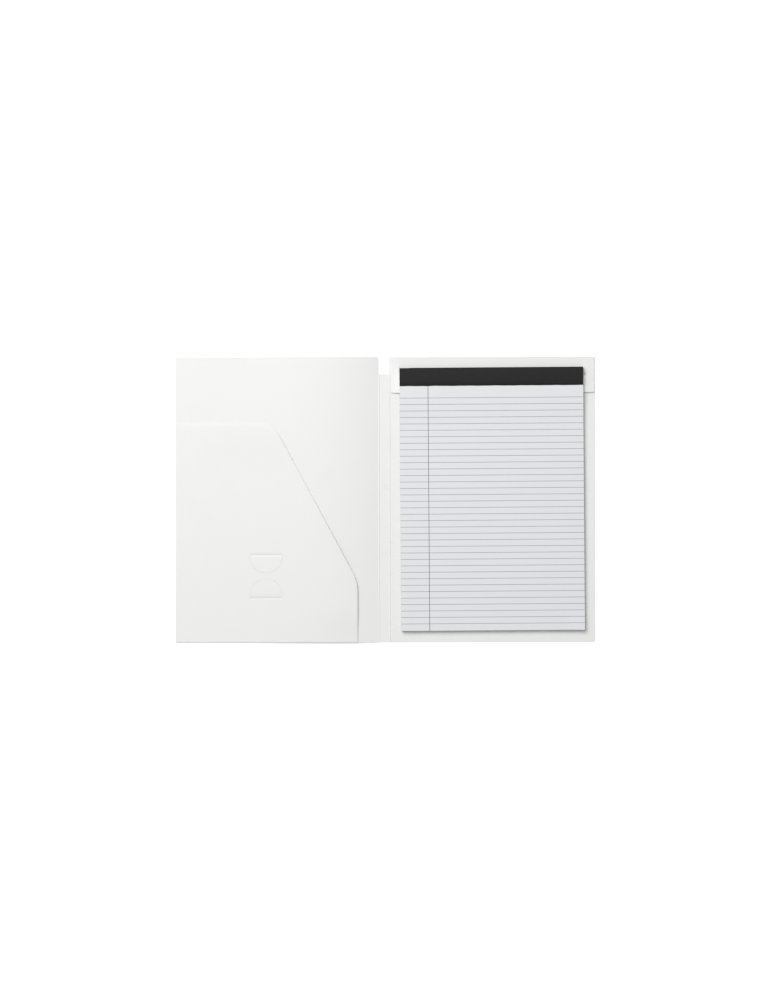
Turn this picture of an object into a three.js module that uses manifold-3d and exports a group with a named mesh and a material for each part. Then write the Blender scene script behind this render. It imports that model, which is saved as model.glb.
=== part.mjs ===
// A document folder of white card, lying open on a table with its inner side up.
// The front cover has a glued pocket with two half-moon tabs for a visiting card.
// The back cover has a flap folded down from its top edge, with a long slot across it.
// A ruled writing pad hangs in the slot: its backing board goes down through it, behind the strap
// of card below the slot, and its sheets stay in front. A cloth tape binds the pad's head.
//
// Millimetres. +X runs from the front cover to the back cover, +Y towards the head of the pad and
// +Z up from the table. The origin is on the table, under the middle of the open folder.

import * as THREE from 'three';
import { mergeVertices } from 'three/addons/utils/BufferGeometryUtils.js';
import Module from 'manifold-3d';

const wasm = await Module();
wasm.setup();

// Writing pad, which sets the size of the folder
const padWidth = 208.5;
const padHeight = 298;
const sheetsThickness = 4.5;
const boardThickness = 0.8;
const tapeThickness = 0.25;
const tapeFront = 20.7;
const tapeBack = 5;
const tapeRadius = 0.8;
const padGap = 0.1; // between the pad's own layers
const padHeadDrop = 12; // from the covers' top edge to the pad's head
const padFootRise = 14; // from the covers' bottom edge to the pad's foot
const padSlide = 0.35; // how far the pad has slid towards the spine from the cover's middle
const padTurnDegrees = 0.32;
const sheetsFall = 45; // length over which the sheets come down from the strap to the board

// Flap with its slot, on the back cover
const slotRoom = 3.5; // the slot is this much longer than the board is wide
const slotEndMargin = 10.5; // card beyond each end of the slot
const slotHeight = 3.4;
const slotDrop = 19.5; // from the top edge to the middle of the slot
const flapHeight = 40;
const flapInsetLeft = 1.5;
const flapInsetRight = 0.6;
const strapRise = 10; // how far below the slot the strap has come up over the board
const restGap = 0.2; // between loose layers that lie on each other

// Card, covers and spine
const cardThickness = 0.5;
const spineWidth = 12.5;
const coverTrim = 2; // the front cover is this much narrower than the back cover
const spineTopDrop = 20; // the spine's top edge is this much lower than the covers'
const foldGap = 0.4; // the scored line between a cover and the spine
const frontArch = 3.2; // how high the front cover bows off the table

// Pocket on the front cover
const pocketMargin = 24.2; // from the pocket's free edge to the spine
const pocketHeight = 248.5;
const pocketShoulder = 111; // from the left edge to where the slant meets the top edge
const pocketSlantFoot = 69; // height at which the slant meets the free edge
const shoulderRadius = 20;
const slantFootRadius = 45;
const pocketInset = 0.3; // the pocket's glued side stays this far inside the cover's edge
const glueTabWidth = 14;
const glueTabGap = 0.3; // between the cover and the tab folded in over it
const gluePress = 0.05; // how far two glued layers are pressed into each other

// Half-moon tabs that hold a visiting card on the pocket
const cardTabWidth = 33.5;
const cardTabStraight = 9.1;
const cardTabCurve = 11.3;
const cardTabHingeSpan = 48.8; // between the two tabs' fold lines
const cardTabsAcross = 103; // from the left edge to the middle of the tabs
const cardTabsUp = 75.7; // from the bottom edge to halfway between the fold lines
const cardTabSlit = 0.3;

// Fineness of bent and curved surfaces
const archSteps = 22;
const fallSteps = 10;
const arcSegments = 8;
const rollLeg = 0.5; // how far a rolled fold reaches into the flat card beside it
const seamOverlap = 0.5; // how far the two parts of the flap share the line of the slot
const cutReach = 20; // cutting bodies reach this far above and below the card

// Sizes and places worked out from those above
const slotLength = padWidth + slotRoom;
const backWidth = slotLength + 2 * slotEndMargin;
const frontWidth = backWidth - coverTrim;
const pocketWidth = frontWidth - pocketMargin;
const coverHeight = padHeight + padHeadDrop + padFootRise;
const left = -(frontWidth + spineWidth + backWidth) / 2;
const right = -left;
const frontFold = left + frontWidth;
const backFold = frontFold + spineWidth;
const bottom = -coverHeight / 2;
const top = coverHeight / 2;
const backMiddle = (backFold + right) / 2;
const padTurn = THREE.MathUtils.degToRad(padTurnDegrees);
const padX = backMiddle - padSlide;
const padY = top - padHeadDrop - padHeight / 2;

// Heights of the layers above the table
const glueTabUnder = cardThickness + glueTabGap;
const pocketUnder = glueTabUnder + cardThickness - gluePress;
const flapUnder = cardThickness + restGap;
const boardLow = cardThickness + restGap;
const strapUnder = boardLow + boardThickness + restGap;
const boardHigh = flapUnder + cardThickness + restGap + tapeThickness + padGap;
const sheetsLow = boardLow + boardThickness + padGap;
const sheetsHigh = Math.max(boardHigh + boardThickness + padGap, strapUnder + cardThickness + restGap);

// Turns a section drawn in (Y, Z) and extruded into one that runs along +X
const alongX = new THREE.Matrix4().makeBasis(
  new THREE.Vector3(0, 1, 0),
  new THREE.Vector3(0, 0, 1),
  new THREE.Vector3(1, 0, 0),
);

// Turns a section drawn in (X, Z) and extruded into one that runs along -Y
const alongMinusY = new THREE.Matrix4().makeBasis(
  new THREE.Vector3(1, 0, 0),
  new THREE.Vector3(0, 0, 1),
  new THREE.Vector3(0, -1, 0),
);

function solidOf(geometry) {
  const bare = geometry.clone();
  bare.deleteAttribute('normal');
  bare.deleteAttribute('uv');
  const merged = mergeVertices(bare);
  return new wasm.Manifold(new wasm.Mesh({
    numProp: 3,
    vertProperties: new Float32Array(merged.attributes.position.array),
    triVerts: new Uint32Array(merged.index.array),
  }));
}

function geometryOf(solid) {
  const mesh = solid.getMesh();
  const geometry = new THREE.BufferGeometry();
  geometry.setAttribute('position', new THREE.BufferAttribute(mesh.vertProperties, 3));
  geometry.setIndex(new THREE.BufferAttribute(mesh.triVerts, 1));
  geometry.computeVertexNormals();
  return geometry;
}

function extrude(shape, depth, steps = 1) {
  return new THREE.ExtrudeGeometry(shape, { depth, steps, curveSegments: arcSegments, bevelEnabled: false });
}

// An upright body with the given outline, used to cut card to its shape
function cutter(shape) {
  return solidOf(extrude(shape, 2 * cutReach).translate(0, 0, -cutReach));
}

// A closed outline; a corner given as [x, y, radius] is rounded
function outline(corners) {
  const shape = new THREE.Shape();
  const points = corners.map(([x, y]) => new THREE.Vector2(x, y));
  shape.moveTo(points[0].x, points[0].y);
  for (let i = 1; i < corners.length; i += 1) {
    const radius = corners[i][2] ?? 0;
    const corner = points[i];
    if (radius > 0) {
      const inward = corner.clone().sub(points[i - 1]).normalize();
      const outward = points[(i + 1) % points.length].clone().sub(corner).normalize();
      const turn = Math.atan2(inward.cross(outward), inward.dot(outward));
      const reach = radius * Math.tan(Math.abs(turn) / 2);
      const start = corner.clone().addScaledVector(inward, -reach);
      const side = Math.sign(turn);
      const centre = start.clone().add(new THREE.Vector2(-inward.y, inward.x).multiplyScalar(side * radius));
      const from = Math.atan2(start.y - centre.y, start.x - centre.x);
      shape.lineTo(start.x, start.y);
      shape.absarc(centre.x, centre.y, radius, from, from + turn, side < 0);
    } else {
      shape.lineTo(corner.x, corner.y);
    }
  }
  shape.closePath();
  return shape;
}

// A sheet of card over the given lines of x and y, its underside at the height heightAt(x, y)
function sheet(xs, ys, heightAt) {
  const geometry = new THREE.BoxGeometry(1, 1, 1, xs.length - 1, ys.length - 1, 1);
  const place = geometry.attributes.position;
  for (let i = 0; i < place.count; i += 1) {
    const x = xs[Math.round((place.getX(i) + 0.5) * (xs.length - 1))];
    const y = ys[Math.round((place.getY(i) + 0.5) * (ys.length - 1))];
    const lift = place.getZ(i) > 0 ? cardThickness : 0;
    place.setXYZ(i, x, y, heightAt(x, y) + lift);
  }
  return solidOf(geometry);
}

// Section of a rolled fold, drawn as (distance in from the edge, height)
function rollSection(height) {
  const outer = height / 2;
  const inner = outer - cardThickness;
  const legEnd = outer + rollLeg;
  const section = new THREE.Shape();
  section.moveTo(legEnd, 0);
  section.lineTo(legEnd, cardThickness);
  section.lineTo(outer, cardThickness);
  section.absarc(outer, outer, inner, -Math.PI / 2, Math.PI / 2, true);
  section.lineTo(legEnd, height - cardThickness);
  section.lineTo(legEnd, height);
  section.lineTo(outer, height);
  section.absarc(outer, outer, outer, Math.PI / 2, 1.5 * Math.PI, false);
  section.closePath();
  return section;
}

// A piece drawn as its section in (Y, Z) and extruded across the pad's width, about X = 0
function acrossPad(section) {
  return extrude(section, padWidth).translate(0, 0, -padWidth / 2).applyMatrix4(alongX);
}

// Front cover with its pocket: one folded piece of card

// The bow of the front cover: flat on the table at its left edge, down again at the spine.
// It follows t * t * (1 - t), whose highest value is 4 / 27.
function arch(x) {
  const along = (x - left) / frontWidth;
  const curvePeak = 4 / 27;
  return (frontArch / curvePeak) * along * along * (1 - along);
}

function frontLayer(under, shape) {
  const xs = Array.from({ length: archSteps + 1 }, (_, i) => left + (frontWidth * i) / archSteps);
  return sheet(xs, [bottom, top], (x) => under + arch(x)).intersect(cutter(shape));
}

// The slit round a half-moon tab. side is 1 for a tab that points down and -1 for one that points up
function tabSlit(foldY, side) {
  const x = left + cardTabsAcross;
  const half = cardTabWidth / 2;
  const slit = new THREE.Shape();
  const curveY = foldY - side * cardTabStraight;
  const down = side > 0;
  slit.moveTo(x - half, foldY);
  slit.lineTo(x - half, curveY);
  slit.absellipse(x, curveY, half, cardTabCurve, Math.PI, 0, !down);
  slit.lineTo(x + half, foldY);
  slit.lineTo(x + half - cardTabSlit, foldY);
  slit.lineTo(x + half - cardTabSlit, curveY);
  slit.absellipse(x, curveY, half - cardTabSlit, cardTabCurve - cardTabSlit, 0, Math.PI, down);
  slit.lineTo(x - half + cardTabSlit, foldY);
  slit.closePath();
  return cutter(slit);
}

function frontCoverGeometry() {
  const pocketRoll = (pocketUnder + cardThickness) / 2;
  const tabRoll = (glueTabUnder + cardThickness) / 2;
  const pocketTop = bottom + pocketHeight;
  const pocketRight = left + pocketWidth;
  const foldEdge = frontFold - foldGap / 2;

  const panel = frontLayer(0, outline([
    [left + tabRoll, bottom + pocketRoll],
    [pocketRight, bottom + pocketRoll],
    [pocketRight, bottom],
    [foldEdge, bottom],
    [foldEdge, top],
    [left, top],
    [left, pocketTop],
    [left + tabRoll, pocketTop],
  ]));

  const pocket = frontLayer(pocketUnder, outline([
    [left + pocketInset, bottom + pocketRoll],
    [pocketRight, bottom + pocketRoll],
    [pocketRight, bottom + pocketSlantFoot, slantFootRadius],
    [left + pocketShoulder, pocketTop, shoulderRadius],
    [left + pocketInset, pocketTop],
  ]));

  const glueTab = frontLayer(glueTabUnder, outline([
    [left + tabRoll, bottom + pocketRoll],
    [left + glueTabWidth, bottom + pocketRoll],
    [left + glueTabWidth, pocketTop],
    [left + tabRoll, pocketTop],
  ]));

  const tabsY = bottom + cardTabsUp;
  const slits = tabSlit(tabsY + cardTabHingeSpan / 2, 1).add(tabSlit(tabsY - cardTabHingeSpan / 2, -1));

  const bottomFold = extrude(rollSection(2 * pocketRoll), frontWidth, archSteps);
  bottomFold.applyMatrix4(alongX).translate(left, bottom, 0);
  const place = bottomFold.attributes.position;
  for (let i = 0; i < place.count; i += 1) {
    place.setZ(i, place.getZ(i) + arch(place.getX(i)));
  }
  const foldSpan = cutter(outline([
    [left + pocketInset, bottom],
    [pocketRight, bottom],
    [pocketRight, bottom + 2 * pocketRoll + rollLeg],
    [left + pocketInset, bottom + 2 * pocketRoll + rollLeg],
  ]));

  const sideFold = extrude(rollSection(2 * tabRoll), pocketHeight - pocketRoll);
  sideFold.applyMatrix4(alongMinusY).translate(left, pocketTop, 0);

  const folded = panel
    .add(pocket.subtract(slits))
    .add(glueTab)
    .add(solidOf(bottomFold).intersect(foldSpan))
    .add(solidOf(sideFold));
  return geometryOf(folded);
}

// Spine: the narrow panel between the two scored lines
function spineGeometry() {
  const width = spineWidth - foldGap;
  const height = coverHeight - spineTopDrop;
  const geometry = new THREE.BoxGeometry(width, height, cardThickness);
  return geometry.translate(frontFold + spineWidth / 2, bottom + height / 2, cardThickness / 2);
}

// Back cover with its slotted flap: one folded piece of card
function backCoverGeometry() {
  const topRoll = (flapUnder + cardThickness) / 2;
  const flapLeft = backFold + flapInsetLeft;
  const flapRight = right - flapInsetRight;
  const foldEdge = backFold + foldGap / 2;
  const slotY = top - slotDrop;
  const slotLeft = backMiddle - slotLength / 2;
  const slotRight = backMiddle + slotLength / 2;
  const flatY = top - topRoll - rollLeg;
  const strapLift = strapUnder - flapUnder;

  // The board's two long edges where it passes through the slot
  const boardMiddle = padX - (slotY - padY) * Math.sin(padTurn);
  const boardLeft = boardMiddle - padWidth / 2;
  const boardRight = boardMiddle + padWidth / 2;

  const ramp = (value, from, to) => THREE.MathUtils.clamp((value - from) / (to - from), 0, 1);

  // How far the card has come up beside the board, from the flap's ends inwards
  const acrossLift = (x) => Math.min(ramp(x, flapLeft, boardLeft), ramp(x, flapRight, boardRight));

  // How far it has come up from the top fold to below the slot; halfway at the slot's ends
  const downLift = (y) => 0.5 * ramp(y, flatY, slotY) + 0.5 * ramp(y, slotY, slotY - strapRise);

  // 0 outside the slot's ends and 1 over the board: there the two sides of the slot part
  const parted = (x) => Math.min(ramp(x, slotLeft, boardLeft), ramp(x, slotRight, boardRight));

  const upperLift = (x, y) => acrossLift(x) * downLift(y) * (1 - parted(x));
  const strapLiftAt = (x, y) => acrossLift(x) * (downLift(y) + (1 - downLift(y)) * parted(x));

  const xs = [flapLeft, slotLeft, boardLeft, boardRight, slotRight, flapRight];
  const upper = sheet(
    xs,
    [slotY - seamOverlap, slotY, flatY, top - topRoll],
    (x, y) => flapUnder + strapLift * upperLift(x, y),
  );
  const strap = sheet(
    xs,
    [top - flapHeight, slotY - strapRise, slotY, slotY + seamOverlap],
    (x, y) => flapUnder + strapLift * strapLiftAt(x, y),
  );

  const endRadius = slotHeight / 2;
  const slot = new THREE.Shape();
  slot.absarc(slotLeft + endRadius, slotY, endRadius, Math.PI / 2, 1.5 * Math.PI, false);
  slot.absarc(slotRight - endRadius, slotY, endRadius, -Math.PI / 2, Math.PI / 2, false);
  slot.closePath();

  const panel = sheet([foldEdge, right], [bottom, top], () => 0).intersect(cutter(outline([
    [foldEdge, bottom],
    [right, bottom],
    [right, top],
    [flapRight, top],
    [flapRight, top - topRoll],
    [flapLeft, top - topRoll],
    [flapLeft, top],
    [foldEdge, top],
  ])));

  // The roll is drawn along the bottom edge and turned half round to the top
  const topFold = extrude(rollSection(2 * topRoll), flapRight - flapLeft);
  topFold.applyMatrix4(alongX).translate(-flapRight, bottom, 0).scale(-1, -1, 1);

  const folded = panel.add(upper.add(strap).subtract(cutter(slot))).add(solidOf(topFold));
  return geometryOf(folded);
}

// Writing pad, drawn about its own middle with its head towards +Y

const padHead = padHeight / 2;
const padFoot = -padHeight / 2;
const headInside = padHead - tapeRadius; // the layers end where the tape starts to bend

function padSheetsGeometry() {
  const fallTop = top - flapHeight - padY;
  const section = new THREE.Shape();
  const surface = (z) => {
    const points = [[padFoot, z + sheetsLow]];
    for (let i = 0; i <= fallSteps; i += 1) {
      const along = i / fallSteps;
      const rise = (1 - Math.cos(Math.PI * along)) / 2;
      points.push([fallTop - sheetsFall * (1 - along), z + sheetsLow + (sheetsHigh - sheetsLow) * rise]);
    }
    points.push([headInside, z + sheetsHigh]);
    return points;
  };
  const lower = surface(0);
  const upper = surface(sheetsThickness).reverse();
  section.setFromPoints([...lower, ...upper].map(([y, z]) => new THREE.Vector2(y, z)));
  return acrossPad(section);
}

// The board steps down through the slot, from over the flap to under the strap
function backingBoardGeometry() {
  const stepY = top - slotDrop - padY;
  const stepHalf = slotHeight / 2 - (padWidth / 2) * Math.sin(padTurn);
  const line = [
    [padFoot, boardLow],
    [stepY - stepHalf, boardLow],
    [stepY + stepHalf, boardHigh],
    [headInside, boardHigh],
  ];
  const section = new THREE.Shape();
  const upper = line.map(([y, z]) => [y, z + boardThickness]).reverse();
  section.setFromPoints([...line, ...upper].map(([y, z]) => new THREE.Vector2(y, z)));
  return acrossPad(section);
}

// The tape lies on the top sheet, goes over the head and ends on the back of the board
function bindingTapeGeometry() {
  const faceUnder = sheetsHigh + sheetsThickness + padGap;
  const faceTop = faceUnder + tapeThickness;
  const backTop = boardHigh - padGap;
  const backUnder = backTop - tapeThickness;
  const wallInside = padHead - tapeThickness;
  const innerRadius = tapeRadius - tapeThickness;
  return acrossPad(outline([
    [padHead - tapeBack, backUnder],
    [padHead, backUnder, tapeRadius],
    [padHead, faceTop, tapeRadius],
    [padHead - tapeFront, faceTop],
    [padHead - tapeFront, faceUnder],
    [wallInside, faceUnder, innerRadius],
    [wallInside, backTop, innerRadius],
    [padHead - tapeBack, backTop],
  ]));
}

function piece(name, geometry, color, roughness) {
  const mesh = new THREE.Mesh(geometry, new THREE.MeshStandardMaterial({ color, roughness, metalness: 0 }));
  mesh.name = name;
  return mesh;
}

const folder = new THREE.Group();
folder.add(piece('front_cover', frontCoverGeometry(), 0xeeeeed, 0.6));
folder.add(piece('spine', spineGeometry(), 0xeeeeed, 0.6));
folder.add(piece('back_cover', backCoverGeometry(), 0xeeeeed, 0.6));

const pad = new THREE.Group();
pad.position.set(padX, padY, 0);
pad.rotation.z = padTurn;
pad.add(piece('pad_sheets', padSheetsGeometry(), 0xe6e6e8, 0.85));
pad.add(piece('backing_board', backingBoardGeometry(), 0x9c9789, 0.9));
pad.add(piece('binding_tape', bindingTapeGeometry(), 0x2d2d2d, 0.7));
folder.add(pad);

export default folder;
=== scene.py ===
import math

import bmesh
import bpy
import numpy as np
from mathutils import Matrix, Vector
from mathutils.geometry import delaunay_2d_cdt


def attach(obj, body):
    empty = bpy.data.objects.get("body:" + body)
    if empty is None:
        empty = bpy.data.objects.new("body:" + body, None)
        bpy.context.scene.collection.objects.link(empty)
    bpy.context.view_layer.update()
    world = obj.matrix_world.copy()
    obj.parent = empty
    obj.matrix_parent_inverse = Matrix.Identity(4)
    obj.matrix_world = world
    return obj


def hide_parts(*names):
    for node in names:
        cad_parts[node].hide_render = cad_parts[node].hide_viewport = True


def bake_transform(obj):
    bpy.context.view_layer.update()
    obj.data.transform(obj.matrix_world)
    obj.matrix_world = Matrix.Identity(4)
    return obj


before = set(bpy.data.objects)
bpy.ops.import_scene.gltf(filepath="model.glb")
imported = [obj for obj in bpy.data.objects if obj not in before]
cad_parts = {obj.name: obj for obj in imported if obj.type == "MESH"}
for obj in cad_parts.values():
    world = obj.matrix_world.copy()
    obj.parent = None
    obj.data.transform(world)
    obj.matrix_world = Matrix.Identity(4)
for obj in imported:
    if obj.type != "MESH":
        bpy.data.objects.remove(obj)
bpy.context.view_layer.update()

# Lengths in this file are millimetres until a mesh is made from them
mm = 0.001


# Shapes


# 0 before start, 1 after end, with an easy curve between them.
def smooth(value, start, end):
    along = min(max((value - start) / (end - start), 0.0), 1.0)
    return along * along * (3 - 2 * along)


def stops(start, end, step):
    count = max(1, round(abs(end - start) / step))
    return [start + (end - start) * i / count for i in range(count + 1)]


# A closed outline through corners given as (x, y, radius), with points no further apart than step.
def rounded(corners, step):
    arcStep = 2
    line = []
    count = len(corners)
    for i, (x, y, radius) in enumerate(corners):
        corner = Vector((x, y))
        before = (corner - Vector(corners[i - 1][:2])).normalized()
        after = (Vector(corners[(i + 1) % count][:2]) - corner).normalized()
        if radius == 0:
            line.append(corner)
            continue
        turn = math.atan2(before.x * after.y - before.y * after.x, before.dot(after))
        start = corner - before * radius * math.tan(abs(turn) / 2)
        side = math.copysign(1, turn)
        centre = start + Vector((-before.y, before.x)) * side * radius
        arm = start - centre
        pieces = max(3, math.ceil(abs(turn) * radius / arcStep))
        for j in range(pieces + 1):
            angle = turn * j / pieces
            spun = Vector((
                arm.x * math.cos(angle) - arm.y * math.sin(angle),
                arm.x * math.sin(angle) + arm.y * math.cos(angle),
            ))
            line.append(centre + spun)
    closed = []
    for i, point in enumerate(line):
        after = line[(i + 1) % len(line)]
        pieces = max(1, math.ceil((after - point).length / step))
        closed += [tuple(point.lerp(after, j / pieces)) for j in range(pieces)]
    return closed


def insideLoop(points, loop):
    inside = np.zeros(len(points), bool)
    x, y = points[:, 0], points[:, 1]
    for (ax, ay), (bx, by) in zip(loop, loop[1:] + loop[:1]):
        if ay != by:
            crosses = (ay > y) != (by > y)
            inside ^= crosses & (x < (bx - ax) * (y - ay) / (by - ay) + ax)
    return inside


# The distance of each point from a line. A closed one is given with its first point once more.
def nearness(points, line):
    nearest = np.full(len(points), np.inf)
    for a, b in zip(line, line[1:]):
        start, run = np.array(a), np.array(b) - np.array(a)
        along = np.clip((points - start) @ run / max(run @ run, 1e-12), 0, 1)
        foot = start + along[:, None] * run
        nearest = np.minimum(nearest, np.linalg.norm(points - foot, axis=1))
    return nearest


# The same closed line, counter-clockwise, moved inwards.
def inset(loop, distance):
    moved = []
    for i, point in enumerate(loop):
        before = (Vector(point) - Vector(loop[i - 1])).normalized()
        after = (Vector(loop[(i + 1) % len(loop)]) - Vector(point)).normalized()
        inward = Vector((-before.y - after.y, before.x + after.x)).normalized()
        squareness = inward.dot(Vector((-before.y, before.x)))
        moved.append(tuple(Vector(point) + inward * distance / max(0.5, squareness)))
    return moved


def signedArea(loop):
    return sum(a[0] * b[1] - b[0] * a[1] for a, b in zip(loop, loop[1:] + loop[:1])) / 2


def counterClockwise(loop):
    return loop if signedArea(loop) > 0 else loop[::-1]


# Points from start up to, but not on, end, no further apart than step.
def densify(start, end, step):
    count = max(1, math.ceil(math.dist(start, end) / step))
    return [
        (start[0] + (end[0] - start[0]) * i / count, start[1] + (end[1] - start[1]) * i / count)
        for i in range(count)
    ]


# Adds a closed sheet with this outline, counter-clockwise, its underside at underAt(x, y). Its
# inner points are the grid of xs and ys, as far as they keep clear of the outline, the holes and
# the open lines, and the sheet's edges follow all of these.
def addSheet(parts, outline, underAt, thickAt, xs, ys, holes=(), lines=()):
    clearance = 0.25
    vertices, faces = parts

    def inCard(points):
        inside = insideLoop(points, outline)
        for hole in holes:
            inside &= ~insideLoop(points, hole)
        return inside

    grid = np.array([(x, y) for x in xs for y in ys])
    keep = inCard(grid)
    corners, edges = [], []
    loops = [outline, *holes]
    for i, line in enumerate([*loops, *lines]):
        keep &= nearness(grid, [*line, line[0]]) > clearance
        first, last = len(corners), len(line)
        corners += [Vector(point) for point in line]
        steps = last if i < len(loops) else last - 1
        edges += [(first + j, first + (j + 1) % last) for j in range(steps)]
    corners += [Vector(point) for point in grid[keep]]
    placed, _, triangles, _, _, _ = delaunay_2d_cdt(corners, edges, [], 0, 1e-5)

    def centre(face):
        return sum((placed[i] for i in face), Vector((0, 0))) / len(face)

    wanted = inCard(np.array([centre(face) for face in triangles]))
    triangles = [face for face, solid in zip(triangles, wanted) if solid]

    first = len(vertices)
    count = len(placed)
    unders = [underAt(point.x, point.y) for point in placed]
    vertices += [(point.x, point.y, under) for point, under in zip(placed, unders)]
    vertices += [
        (point.x, point.y, under + thickAt(point.x, point.y))
        for point, under in zip(placed, unders)
    ]
    rims = {}
    for face in triangles:
        a, b, c = (placed[i] for i in face)
        if (b - a).cross(c - a) < 0:
            face = face[::-1]
        faces.append([first + count + i for i in face])
        faces.append([first + i for i in face[::-1]])
        for i in range(3):
            edge = (face[i], face[(i + 1) % 3])
            if edge[::-1] in rims:
                del rims[edge[::-1]]
            else:
                rims[edge] = True
    for a, b in rims:
        faces.append([first + a, first + b, first + count + b, first + count + a])


# Adds a closed solid: the section's points (a, b) put at place(station, a, b) for each station.
def addSweep(parts, section, stations, place):
    vertices, faces = parts
    first = len(vertices)
    count = len(section)
    for station in stations:
        vertices += [place(station, a, b) for a, b in section]
    for i in range(len(stations) - 1):
        for j in range(count):
            k = (j + 1) % count
            low, high = first + i * count, first + (i + 1) * count
            faces.append([low + j, low + k, high + k, high + j])
    faces.append([first + j for j in range(count)][::-1])
    faces.append([first + (len(stations) - 1) * count + j for j in range(count)])


# A mesh object of vertices in millimetres. padPlaces keeps each vertex's own place for the
# material, because the pad's pieces are turned and moved afterwards.
def meshObject(name, parts, material, sharpDegrees=35, padPlaces=False):
    vertices, faces = parts
    mesh = bpy.data.meshes.new(name)
    mesh.from_pydata([tuple(c * mm for c in v) for v in vertices], [], faces)
    shape = bmesh.new()
    shape.from_mesh(mesh)
    bmesh.ops.delete(shape, geom=[v for v in shape.verts if not v.link_faces], context="VERTS")
    bmesh.ops.recalc_face_normals(shape, faces=shape.faces)
    shape.to_mesh(mesh)
    shape.free()
    if padPlaces:
        places = mesh.attributes.new("padPlace", "FLOAT_VECTOR", "POINT")
        coordinates = np.zeros(len(mesh.vertices) * 3)
        mesh.vertices.foreach_get("co", coordinates)
        places.data.foreach_set("vector", coordinates)
    mesh.materials.append(material)
    mesh.shade_smooth()
    mesh.set_sharp_from_angle(angle=math.radians(sharpDegrees))
    made = bpy.data.objects.new(name, mesh)
    bpy.context.scene.collection.objects.link(made)
    return made


# Materials


# Adds nodes to one tree, each with its inputs set by name or position.
class Nodes:

    def __init__(self, tree):
        self.tree = tree

    def add(self, kind, inputs=None, **settings):
        node = self.tree.nodes.new(kind)
        for name, value in settings.items():
            setattr(node, name, value)
        for name, value in (inputs or {}).items():
            if isinstance(value, bpy.types.NodeSocket):
                self.tree.links.new(value, node.inputs[name])
            else:
                node.inputs[name].default_value = value
        return node

    def math(self, operation, a, b=0.0):
        return self.add("ShaderNodeMath", {0: a, 1: b}, operation=operation).outputs[0]

    def noise(self, place, scale, detail):
        inputs = {"Vector": place, "Scale": scale, "Detail": detail}
        return self.add("ShaderNodeTexNoise", inputs).outputs[0]

    def scale(self, vector, size):
        inputs = {0: vector, "Scale": size}
        return self.add("ShaderNodeVectorMath", inputs, operation="SCALE").outputs[0]

    # From the first colour at 0 to the second at 1. A colour is a socket or red, green and blue.
    def mix(self, amount, first, second):
        node = self.add("ShaderNodeMix", {"Factor": amount}, data_type="RGBA")
        for name, colour in (("A", first), ("B", second)):
            socket = next(s for s in node.inputs if s.name == name and s.type == "RGBA")
            if isinstance(colour, bpy.types.NodeSocket):
                self.tree.links.new(colour, socket)
            else:
                socket.default_value = (*colour, 1)
        return next(s for s in node.outputs if s.type == "RGBA")

    def between(self, value, start, end, low, high):
        return self.add(
            "ShaderNodeMapRange",
            {"Value": value, "From Min": start, "From Max": end, "To Min": low, "To Max": high},
        ).outputs["Result"]


# A shader node group with its inputs as (label, socket type, value) and outputs as (label, type).
def newGroup(name, inputs, outputs):
    tree = bpy.data.node_groups.new(name, "ShaderNodeTree")
    for label, kind, value in inputs:
        socket = tree.interface.new_socket(label, in_out="INPUT", socket_type=kind)
        if value is not None:
            socket.default_value = value
    for label, kind in outputs:
        tree.interface.new_socket(label, in_out="OUTPUT", socket_type=kind)
    nodes = Nodes(tree)
    return tree, nodes, nodes.add("NodeGroupInput"), nodes.add("NodeGroupOutput")


def newMaterial(name):
    material = bpy.data.materials.new(name)
    material.use_nodes = True
    nodes = Nodes(material.node_tree)
    return material, nodes, material.node_tree.nodes["Principled BSDF"]


# Card and paper: a soft cloudy shade and a fine grain in relief.
def fibreGroup():
    tree, nodes, given, result = newGroup(
        "fibre",
        [
            ("Place", "NodeSocketVector", None),
            ("Colour", "NodeSocketColor", (0.8, 0.8, 0.8, 1)),
            ("Cloud", "NodeSocketFloat", 0.02),
            ("Grain", "NodeSocketFloat", 0.02),
            ("Grain Size", "NodeSocketFloat", 0.0006),
        ],
        [("Colour", "NodeSocketColor"), ("Height", "NodeSocketFloat")],
    )
    place = given.outputs["Place"]
    cloudScale = 38.0
    cloud = nodes.noise(place, cloudScale, 3.0)
    grain = nodes.noise(place, nodes.math("DIVIDE", 1.0, given.outputs["Grain Size"]), 4.0)
    cloudShade = nodes.math("MULTIPLY", nodes.math("SUBTRACT", cloud, 0.5), given.outputs["Cloud"])
    grainShade = nodes.math("MULTIPLY", nodes.math("SUBTRACT", grain, 0.5), given.outputs["Grain"])
    shade = nodes.math("ADD", nodes.math("ADD", cloudShade, grainShade), 1.0)
    tree.links.new(nodes.scale(given.outputs["Colour"], shade), result.inputs["Colour"])
    tree.links.new(grain, result.inputs["Height"])
    return tree


fibre = fibreGroup()


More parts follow.
